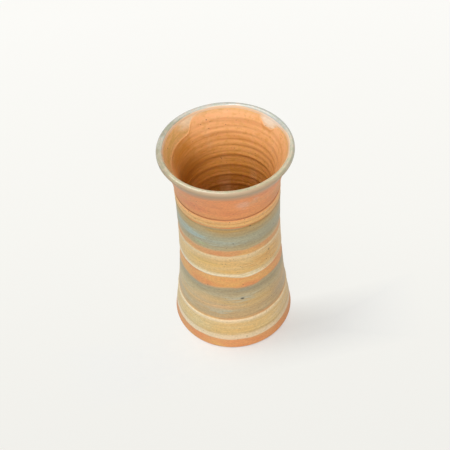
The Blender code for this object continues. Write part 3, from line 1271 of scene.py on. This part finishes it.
@dataclass
class SlipBand(Piece):
    """A band of slip brushed round the outer wall."""

    low: float
    high: float
    low_edge: Edge
    high_edge: Edge
    score: float = 0.0  # level of a line scored in it, if it has one
    lap: float = 0.0  # how far below its start the brush came round again
    lap_bearing: float = 259.0
    lap_width: float = 31.0  # in degrees
    thickness: float = 0.22 * MM
    bead: float = 0.2 * MM
    bead_half: float = 1.8 * MM
    score_depth: float = 0.2 * MM
    score_half: float = 0.8 * MM
    ridge: float = 0.06 * MM
    ridge_width: float = 1.3 * MM
    spare: float = 3.0 * MM  # bare mesh beyond an edge that wanders

    def lapped(self, angle: float) -> float:
        """Finds how far the lower edge lies above its middle level, as the brush came round lower.

        Args:
            angle: Place round the axis.

        Returns:
            The distance up, which falls by the lap where the brush met its start.
        """
        turn = ((math.degrees(angle) - self.lap_bearing) % 360.0) / 360.0
        width = self.lap_width / 360.0
        if turn > width:
            return self.lap * (turn - 0.5)
        return self.lap * (0.5 - (1.0 - width) * smooth(turn / width))

    def level(self, angle: float, z: float) -> float:
        """Finds the height in the brushed pattern, which stretches between the band's wandering edges.

        Args:
            angle: Place round the axis.
            z: Level.

        Returns:
            The height at which the pattern would be if the edges ran true.
        """
        low = self.low + self.low_edge.wander(angle, self.low / MM) + self.lapped(angle)
        high = self.high + self.high_edge.wander(angle, self.high / MM)
        return self.low + (z - low) / (high - low) * (self.high - self.low)

    def cover(self, level: float) -> float:
        """How much of a full coat lies at a height in the pattern."""
        low = smooth((level - self.low) / self.low_edge.fade)
        return low * smooth((self.high - level) / self.high_edge.fade)

    def relief(self, angle: float, level: float) -> float:
        """Finds how far the coat's ridges, heaped edges and scored line stand off its even face.

        Args:
            angle: Place round the axis.
            level: Height in the pattern.

        Returns:
            The distance, outwards.
        """
        rise = self.ridge * drift(angle, turns=1.5, seed=level / self.ridge_width)
        beads = {self.low + self.bead_half: self.low_edge, self.high - self.bead_half: self.high_edge}
        for middle, edge in beads.items():
            if edge is Edge.LINED:
                rise += self.bead * (1.0 - smooth(abs(level - middle) / self.bead_half))
        if self.score:
            rise -= self.score_depth * (1.0 - smooth(abs(level - self.score) / self.score_half))
        return rise

    def shape(self) -> bmesh.types.BMesh:
        """Spins the band's section and lays the coat on it.

        Returns:
            The mesh.
        """
        form = self.form
        low = self.low - self.spare
        high = self.high + self.spare
        front = [(form.wall(z), z) for z in levels(low, high, COAT_STEP)]
        back = [(form.wall(z) - SINK, z) for z in levels(low, high, HIDDEN_STEP)[::-1]]
        mesh = spun(back, front, True)
        face, coat, height = layers(mesh)
        for vert in mesh.verts:
            angle = math.atan2(vert.co.y, vert.co.x)
            push_out(vert, form.unevenness(angle, vert.co.z))
            if vert[face]:
                level = self.level(angle, vert.co.z)
                cover = self.cover(level)
                vert[coat] = cover
                vert[height] = level
                vert.co += (laid(self.thickness, cover) + cover * self.relief(angle, level)) * vert.normal
        return mesh


@dataclass(frozen=True)
class Dip:
    """A stretch, in degrees round the axis, where a glaze stopped lower, and how much lower."""

    first: float
    rise: float
    last: float
    fall: float
    depth: float

    def at(self, angle: float) -> float:
        """How much lower the glaze stopped at a place round the axis."""
        turn = math.degrees(angle) % 360.0
        return self.depth * smooth((turn - self.first) / self.rise) * smooth((self.last - turn) / self.fall)


@dataclass
class RimGlaze(Piece):
    """The glaze over the lip, which the vase was dipped in upside down."""

    outer_edge: float = 160.5 * MM
    outer_tilt: float = 5.5 * MM  # by which the front is higher
    outer_sway: float = 1.2 * MM
    outer_fray: float = 0.5 * MM
    outer_fade: float = 16.0 * MM
    outer_spare: float = 2.0 * MM  # bare mesh beyond the edge
    inner_edge: float = 177.0 * MM
    inner_tilt: float = 0.5 * MM  # as the vase was dipped a little askew
    inner_dip: Dip = Dip(2, 26, 80, 26, 0.7 * MM)  # where it ran further in
    inner_fray: float = 0.4 * MM
    inner_fade: float = 3.0 * MM
    inner_spare: float = 1.5 * MM
    lip_gap: float = 0.5 * MM  # between the lip's arc and the first level under it
    buried: float = 0.15

    def cover(self, angle: float, z: float, inside: bool) -> float:
        """Finds how much of a full coat lies at a place.

        Args:
            angle: Place round the axis.
            z: Level.
            inside: Whether the place is on the inner wall.

        Returns:
            A share that falls to 0 at the glaze's wandering edges.
        """
        if inside:
            edge = self.inner_edge - self.inner_dip.at(angle) + self.inner_tilt * math.cos(angle)
            edge += self.inner_fray * drift(angle, turns=3.0, seed=4.0)
            return smooth((z - edge) / self.inner_fade)
        edge = self.outer_edge - self.outer_tilt * math.sin(angle)
        edge += self.outer_sway * drift(angle, turns=1.2, seed=1.0)
        edge += self.outer_fray * drift(angle, turns=5.0, seed=2.0)
        return min(1.0, max(0.0, (z - edge) / self.outer_fade))

    def over_lip(self, off: float) -> list[Point]:
        """Lays out a line up the flare, over the lip and down the inner wall.

        Args:
            off: Distance from the clay, outwards.

        Returns:
            Radius and level of each point.
        """
        form = self.form
        arc = form.lip_arc(off)
        outer = self.outer_edge - self.outer_tilt - self.outer_spare
        inner = self.inner_edge - self.inner_dip.depth - self.inner_spare
        up = [(form.wall(z) + off, z) for z in levels(outer, arc[0][1], COAT_STEP)[:-1]]
        down = [(form.bore(z) - off, z) for z in levels(inner, arc[-1][1] - self.lip_gap, LIP_STEP)[::-1]]
        return up + arc + down

    def shape(self) -> bmesh.types.BMesh:
        """Spins a coat that follows the flare, the lip and the inner wall.

        Returns:
            The mesh.
        """
        form = self.form
        mesh = spun(self.over_lip(-SINK)[::-1], self.over_lip(0.0), True)
        face, coat, level = layers(mesh)
        for vert in mesh.verts:
            angle = math.atan2(vert.co.y, vert.co.x)
            radius = math.hypot(vert.co.x, vert.co.y)
            outer, inner = form.wall(vert.co.z), form.bore(vert.co.z)
            inside = radius < 0.5 * (outer + inner)
            push_out(vert, form.unevenness(angle, vert.co.z))
            if vert[face]:
                cover = self.cover(angle, vert.co.z, inside)
                vert[coat] = cover
                vert[level] = (outer - radius) / (outer - inner)
                vert.co += laid(form.lip_coat, smooth(cover), self.buried) * vert.normal
        return mesh


@dataclass
class LinerGlaze(Piece):
    """The glaze poured inside, which stops short of the lip in places."""

    top: float = 178.2 * MM
    still: float = 164.0 * MM  # below this the levels run true
    sway: float = 0.35 * MM
    fray: float = 0.08 * MM
    thickness: float = 0.16 * MM
    fade: float = 3.2 * MM
    dip_fade: float = 1.5 * MM  # over which it thins out where the pour stopped low
    bead: float = 0.2
    bead_below: float = 1.8 * MM
    bead_rise: float = 4.0 * MM  # how deep a dip heaps up a full bead
    shade_line_below: float = 1.0 * MM  # how far under a ring's crest the dark line lies: painted shade of the crest's underside, and glaze gathered there
    dips: tuple[Dip, ...] = (
        Dip(120, 15, 245, 60, 9.2 * MM),
        Dip(26, 9, 53, 10, 5.3 * MM),
    )

    def dipped(self, angle: float) -> float:
        """How far the pour stopped below its top."""
        return sum(dip.at(angle) for dip in self.dips)

    def edge(self, angle: float) -> float:
        """Level of the pour's edge."""
        swayed = self.top - self.dipped(angle) + self.sway * drift(angle, turns=4.0, seed=9.0)
        return swayed + self.fray * drift(angle, turns=12.0, seed=3.0)

    def coat(self, angle: float, below: float) -> float:
        """Finds how much of a full coat lies at a place.

        Args:
            angle: Place round the axis.
            below: Distance below the pour's edge.

        Returns:
            A share that is 0 at the edge, and over 1 in the bead where the pour stopped low.
        """
        low = smooth(self.dipped(angle) / self.bead_rise)
        fade = self.fade + low * (self.dip_fade - self.fade)
        heap = self.bead * low * (1.0 - smooth(abs(below - self.bead_below) / self.bead_below))
        return smooth(below / fade) + heap

    def draw_down(self, vert: bmesh.types.BMVert, edge: float) -> None:
        """Moves a vertex near the top down the wall, so that the topmost one comes to the pour's edge.

        Args:
            vert: The vertex.
            edge: Level of the pour's edge there.
        """
        share = (vert.co.z - self.still) / (self.top - self.still)
        if share > 0.0:
            radius = math.hypot(vert.co.x, vert.co.y)
            z = self.still + share * (edge - self.still)
            grown = 1.0 + (self.form.bore(z) - self.form.bore(vert.co.z)) / radius
            vert.co = (vert.co.x * grown, vert.co.y * grown, z)

    def shape(self) -> bmesh.types.BMesh:
        """Spins the liner, draws its top edge down and lays it over the finger rings.

        Returns:
            The mesh.
        """
        form = self.form
        front = form.bore_path(self.top, 0.0, RING_STEP)
        back = form.bore_path(self.top, -SINK, HIDDEN_STEP)[::-1]
        mesh = spun(back, front, False)
        face, coat, crest = layers(mesh)
        for vert in mesh.verts:
            angle = math.atan2(vert.co.y, vert.co.x)
            edge = self.edge(angle)
            self.draw_down(vert, edge)
            push_out(vert, form.unevenness(angle, vert.co.z))
            if vert[face]:
                push_out(vert, -form.ring(angle, vert.co.z))
                # Read a little below the crest, for the painted shade under it
                vert[crest] = form.crest(angle, vert.co.z + self.shade_line_below)
                vert[coat] = self.coat(angle, edge - vert.co.z)
                vert.co += laid(self.thickness, vert[coat]) * vert.normal
        return mesh


@dataclass(frozen=True)
class Paper:
    """Matt white paper, uncoated and without gloss.

    To the eye it is a pale sheet, a little paler towards the back, which is painted light. Away from the
    vase it shows its own colour, which no shadow dims, and along the vase's shadow it is ordinary lit
    paper.
    """

    name: str = "matt_paper"
    tones: tuple[Tone, ...] = (  # from front to back, paler towards the back as painted light
        Tone(-150, "f1f0eb"),
        Tone(-26, "f4f3ee"),
        Tone(8, "f5f4ef"),
        Tone(87, "f7f6f1"),
        Tone(460, "fcfbf7"),
    )
    sent_back: tuple[float, float, float] = (0.77, 0.785, 0.81)  # what the lit paper keeps of its colour
    glow: Span = (0.0, 0.92)  # share of its own colour in the shadow and away from it
    shadow_turn: float = 11.0  # bearing of the line along which the vase's shadow is deepest
    shadow_off: float = 46.0 * MM  # by which that line passes in front of the axis
    shadow_side: Span = (6.0 * MM, 34.0 * MM)  # from that line, where the shadow fades
    shadow_end: Span = (90.0 * MM, 165.0 * MM)  # and from the vase's axis
    roughness: float = 0.9

    def material(self) -> bpy.types.Material:
        """Makes the material of the floor.

        Returns:
            The material.
        """
        bench = Bench(self.name)
        colour = bench.chart(bench.y, self.tones)
        lit = bench.add("VectorMath", (colour, self.sent_back), operation="MULTIPLY")
        bench.tree.links.new(lit, bench.shader.inputs["Base Color"])
        bench.shader.inputs["Roughness"].default_value = self.roughness
        bench.shader.inputs["Specular IOR Level"].default_value = 0.0
        turn = math.radians(self.shadow_turn)
        across = (bench.place, (-math.sin(turn), math.cos(turn), 0.0))
        beside = bench.add("VectorMath", across, "Value", operation="DOT_PRODUCT")
        off_line = bench.add("Math", (beside, self.shadow_off), operation="ADD")
        aside = bench.add("Math", (off_line,), operation="ABSOLUTE")
        away = bench.add("VectorMath", (bench.place,), "Value", operation="LENGTH")
        glows = tuple(
            bench.add("MapRange", (distance, *span, *self.glow))
            for distance, span in ((aside, self.shadow_side), (away, self.shadow_end))
        )
        own = bench.add("Math", glows, operation="MAXIMUM")
        share = bench.add("Math", (seen_rays(bench.tree), own), operation="MULTIPLY")
        glow = bench.add("Emission", {"Color": colour})
        mixed = bench.add("MixShader", (share, bench.shader.outputs[0], glow))
        bench.tree.links.new(mixed, bench.tree.nodes["Material Output"].inputs["Surface"])
        return bench.material


@dataclass(frozen=True)
class Softbox:
    """A large soft light: how strong, how high, where round the vase and how wide it is, in degrees."""

    name: str
    strength: float
    elevation: float
    bearing: float
    spread: float

    def hang(self) -> bpy.types.Object:
        """Hangs the light.

        Returns:
            The light's object.
        """
        data = bpy.data.lights.new(self.name, "SUN")
        data.energy = self.strength
        data.angle = math.radians(self.spread)
        light = bpy.data.objects.new(self.name, data)
        rise = math.radians(self.elevation)
        turn = math.radians(self.bearing)
        towards = Vector((math.cos(turn) * math.cos(rise), math.sin(turn) * math.cos(rise), math.sin(rise)))
        light.rotation_euler = towards.to_track_quat("Z", "Y").to_euler()
        bpy.context.scene.collection.objects.link(light)
        return light


@dataclass
class Studio:
    """The pale floor, the soft light and the camera."""

    target: tuple[float, float, float] = (-3.43 * MM, 0.0, 97.0 * MM)
    distance: float = 632.6 * MM
    elevation: float = 47.31
    roll: float = -3.46
    lens: float = 64.39
    sensor: float = 36.0
    paper: Paper = Paper()
    floor_half: float = 3.0
    room: str = "ffffff"
    ambient: float = 0.44  # how much light the room sends
    pale: float = 0.96  # how bright it looks
    lights: tuple[Softbox, ...] = (
        Softbox("front_softbox", 1.36, 40, 274, 40),
        Softbox("side_softbox", 1.15, 67, 168, 42),
        Softbox("overhead_softbox", 0.7, 71, 236, 22),
    )

    def floor(self) -> bpy.types.Object:
        """Lays the sheet of paper that the vase stands on.

        Returns:
            The floor's object.
        """
        mesh = bmesh.new()
        bmesh.ops.create_grid(mesh, x_segments=1, y_segments=1, size=self.floor_half)
        floor = set_down("paper_floor", mesh, self.paper.material())
        return floor

    def light(self) -> None:
        """Hangs the softboxes and fills the room, which looks pale, with even light."""
        world = bpy.data.worlds.new("white_room")
        world.use_nodes = True
        tree = world.node_tree
        sky = tree.nodes["Background"]
        sky.inputs["Color"].default_value = linear(self.room)
        strength = add_node(tree, "MapRange", (seen_rays(tree), 0.0, 1.0, self.ambient, self.pale))
        tree.links.new(strength, sky.inputs["Strength"])
        bpy.context.scene.world = world
        for softbox in self.lights:
            softbox.hang()

    def camera(self) -> None:
        """Sets up the camera where the photograph was taken from."""
        rise = math.radians(self.elevation)
        roll = math.radians(self.roll)
        forward = Vector((0.0, math.cos(rise), -math.sin(rise)))
        up = Vector((0.0, math.sin(rise), math.cos(rise)))
        right = Vector((1.0, 0.0, 0.0))
        across = math.cos(roll) * right + math.sin(roll) * up
        upright = math.cos(roll) * up - math.sin(roll) * right
        data = bpy.data.cameras.new("photo_camera")
        data.sensor_width = self.sensor
        data.lens = self.lens
        camera = bpy.data.objects.new("photo_camera", data)
        turned = Matrix((across, upright, -forward)).transposed().to_4x4()
        camera.matrix_world = Matrix.Translation(Vector(self.target) - self.distance * forward) @ turned
        bpy.context.scene.collection.objects.link(camera)
        bpy.context.scene.camera = camera
        bpy.context.scene.view_settings.view_transform = "Standard"


def vase_pieces() -> list[Piece]:
    """Lists the pieces of the vase, from the clay outwards.

    Returns:
        The pieces, not yet built.
    """
    form = ThrownForm()
    pieces: list[Piece] = [
        ClayBody(form, "thrown_clay", "clay_body", "fired_clay", Stoneware()),
        LinerGlaze(form, "poured_liner", "liner_glaze", "amber_glaze", AmberGlaze()),
        RimGlaze(form, "dipped_rim", "rim_glaze", "celadon_glaze", Celadon()),
    ]
    lined, soft, dry = Edge.LINED, Edge.SOFT, Edge.DRY
    bands = (  # the lower and upper level, their edges, the level of a scored line and the brush's lap
        ("foot_cream", "cream_slip", FOOT_CREAM, 8.2, 32.7, soft, lined, 0.0, 0.0),
        ("lower_blue", "blue_grey_slip", LOWER_BLUE, 32.4, 71.4, soft, dry, 0.0, 0.0),
        ("upper_cream", "cream_slip", UPPER_CREAM, 79.7, 105.9, lined, soft, 0.0, 3.2),
        ("upper_blue", "blue_grey_slip", UPPER_BLUE, 108.6, 136.2, dry, lined, 0.0, 0.0),
        ("shoulder_ochre", "ochre_slip", SHOULDER_OCHRE, 135.6, 143.9, lined, lined, 139.9, 0.0),
    )
    for stem, slot, slip, low, high, low_edge, high_edge, score, lap in bands:
        stands_for = (f"{stem}_slip", f"{stem}_band", slot)
        brushed = (slip, low * MM, high * MM, low_edge, high_edge, score * MM, lap * MM)
        pieces.append(SlipBand(form, *stands_for, *brushed))
    return pieces


def main() -> None:
    """Builds the studio and the vase, and reports each piece."""
    logging.basicConfig(level=logging.INFO, format="%(message)s")
    studio = Studio()
    studio.camera()
    studio.light()
    studio.floor()
    for piece in vase_pieces():
        made = piece.make()
        log.info("%s for %s: %d faces", made.name, piece.node, len(made.data.polygons))


if __name__ == "__main__":
    main()
